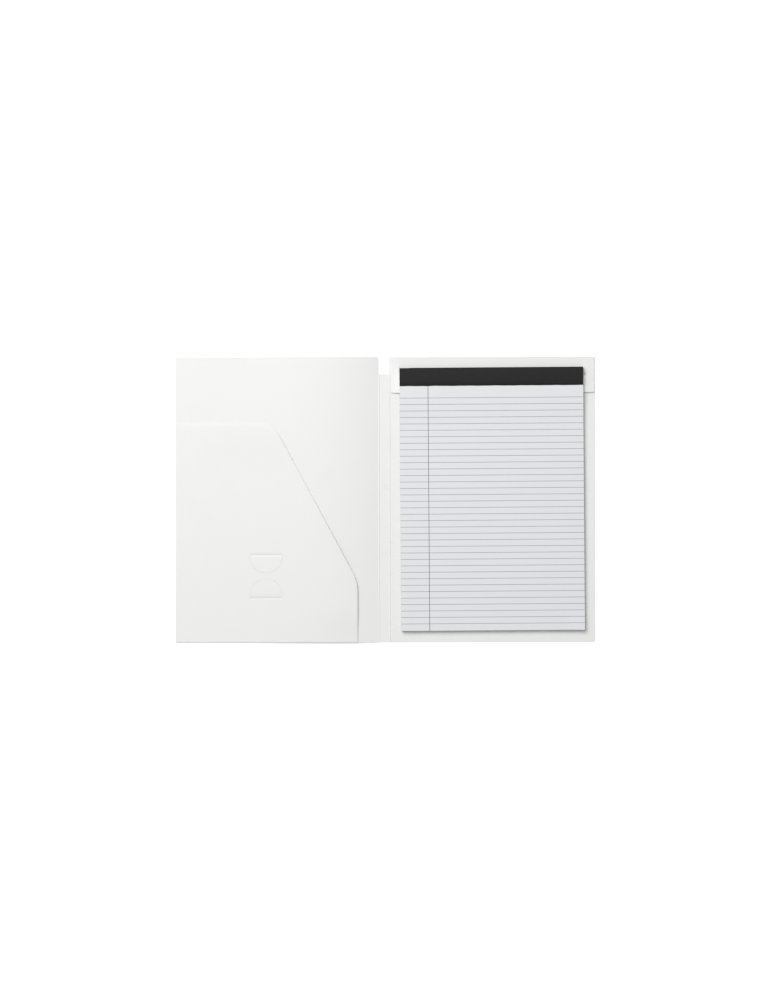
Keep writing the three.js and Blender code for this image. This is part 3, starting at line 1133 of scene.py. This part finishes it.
def buildTape():
    head, thick, radius = pad["halfHeight"], tape["thickness"], tape["radius"]
    low, high = tape["backUnder"], tape["faceTop"]
    backEnd, frontEnd = head - tape["back"], head - tape["front"]
    faceMiddle = head - tape["faceMiddle"]

    # Both bends round the head, from the back leg up to the face
    def bends(size):
        lower = quarterTurn(head - radius, low + radius, size, -math.pi / 2)
        return lower + quarterTurn(head - radius, high - radius, size, 0)

    section = [(backEnd, low), *bends(radius)]
    section += [(faceMiddle, high), (frontEnd + 0.3, high), (frontEnd, high - 0.1)]
    section += [(frontEnd, high - thick), (faceMiddle, high - thick)]
    section += [*bends(radius - thick)[::-1], (backEnd, low + thick)]

    # The tape's front edge isn't cut quite straight, and its head dips a little at the left end
    def place(u, v, z):
        short, long = tape["waverLengths"]
        waver = tape["waver"] * math.sin(u / short) * math.sin(u / long + 1)
        dip = tape["leftDip"] * (1 - smooth(u + pad["halfWidth"], *tape["leftDipAcross"]))
        if v < frontEnd + 1 and z > high - 1:
            v += waver
        return (u, v - dip * smooth(v, head - tape["leftDipDown"], head), z)

    parts = ([], [])
    addSweep(parts, section, stops(-pad["halfWidth"], pad["halfWidth"], 1.5), place)
    made = meshObject("bindingTape", parts, tapeMaterial(), 30, True)
    return putPad(made)


bindingTape = buildTape()
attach(bindingTape, "back_cover")
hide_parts("binding_tape")

boardLook = {
    "colour": (0.33, 0.31, 0.275),
    "cloud": 0.12,
    "grain": 0.4,
    "grainSize": 0.8,
    "relief": 0.02,
    "roughness": 0.9,
    "shine": 0.15,
}
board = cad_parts["backing_board"]
board.data.materials.clear()
board.data.materials.append(fibreMaterial("greyBoard", boardLook))
print("pad is built")


# Light, floor and camera, in metres

stage = {
    "skyLevel": 0.36,
    "lampPlace": (-1.0, 1.4, 2.5),
    "lampSize": 2.0,
    "lampPower": 77.5,
    "floorSize": 8.0,
    "floorDrop": 0.0002,
    "floorColour": (0.85, 0.85, 0.85),
    "floorGlow": 0.45,
    "glowStart": 0.8,
    "glowEnd": 1.8,
    "cameraHeight": 3.0,
    "cameraCentre": (0.34 * mm, -0.45 * mm),
    "cameraRollDegrees": -0.1,
    "frameHeight": 1.1353,
    "sensor": 36.0,
}


def buildSky():
    world = bpy.data.worlds.new("sky")
    bpy.context.scene.world = world
    world.use_nodes = True
    nodes = Nodes(world.node_tree)
    background = world.node_tree.nodes["Background"]
    seen = nodes.add("ShaderNodeLightPath").outputs["Is Camera Ray"]
    strength = nodes.between(seen, 0.0, 1.0, stage["skyLevel"], 1.0)
    background.inputs["Color"].default_value = (1, 1, 1, 1)
    world.node_tree.links.new(strength, background.inputs["Strength"])


# The floor shows the object's shadow, and away from it is as white as the backdrop.
def buildFloor():
    bpy.ops.mesh.primitive_plane_add(size=stage["floorSize"], location=(0, 0, -stage["floorDrop"]))
    floor = bpy.context.object
    floor.name = "floor"
    material, nodes, shader = newMaterial("floorWhite")
    seen = nodes.add("ShaderNodeLightPath").outputs["Is Camera Ray"]
    place = nodes.add("ShaderNodeTexCoord").outputs["Object"]
    away = nodes.add("ShaderNodeVectorMath", {0: place}, operation="LENGTH").outputs["Value"]
    far = nodes.between(away, stage["glowStart"], stage["glowEnd"], stage["floorGlow"], 1.0)
    nodes.tree.links.new(nodes.math("MULTIPLY", seen, far), shader.inputs["Emission Strength"])
    shader.inputs["Base Color"].default_value = (*stage["floorColour"], 1)
    shader.inputs["Roughness"].default_value = 1.0
    shader.inputs["Specular IOR Level"].default_value = 0.0
    shader.inputs["Emission Color"].default_value = (1, 1, 1, 1)
    floor.data.materials.append(material)
    return floor


def buildLamp():
    lamp = bpy.data.objects.new("windowLamp", bpy.data.lights.new("windowLamp", "AREA"))
    lamp.data.energy = stage["lampPower"]
    lamp.data.size = stage["lampSize"]
    lamp.location = stage["lampPlace"]
    lamp.rotation_euler = (-Vector(stage["lampPlace"])).to_track_quat("-Z", "Y").to_euler()
    bpy.context.scene.collection.objects.link(lamp)
    return lamp


def buildCamera():
    camera = bpy.data.objects.new("camera", bpy.data.cameras.new("camera"))
    camera.location = (*stage["cameraCentre"], stage["cameraHeight"])
    camera.rotation_euler = (0, 0, math.radians(stage["cameraRollDegrees"]))
    camera.data.sensor_width = stage["sensor"]
    camera.data.lens = stage["sensor"] * stage["cameraHeight"] / stage["frameHeight"]
    camera.data.clip_end = 20
    bpy.context.scene.collection.objects.link(camera)
    bpy.context.scene.camera = camera
    return camera


buildSky()
buildFloor()
buildLamp()
buildCamera()
bpy.context.scene.view_settings.view_transform = "Standard"
print("light and camera are placed")
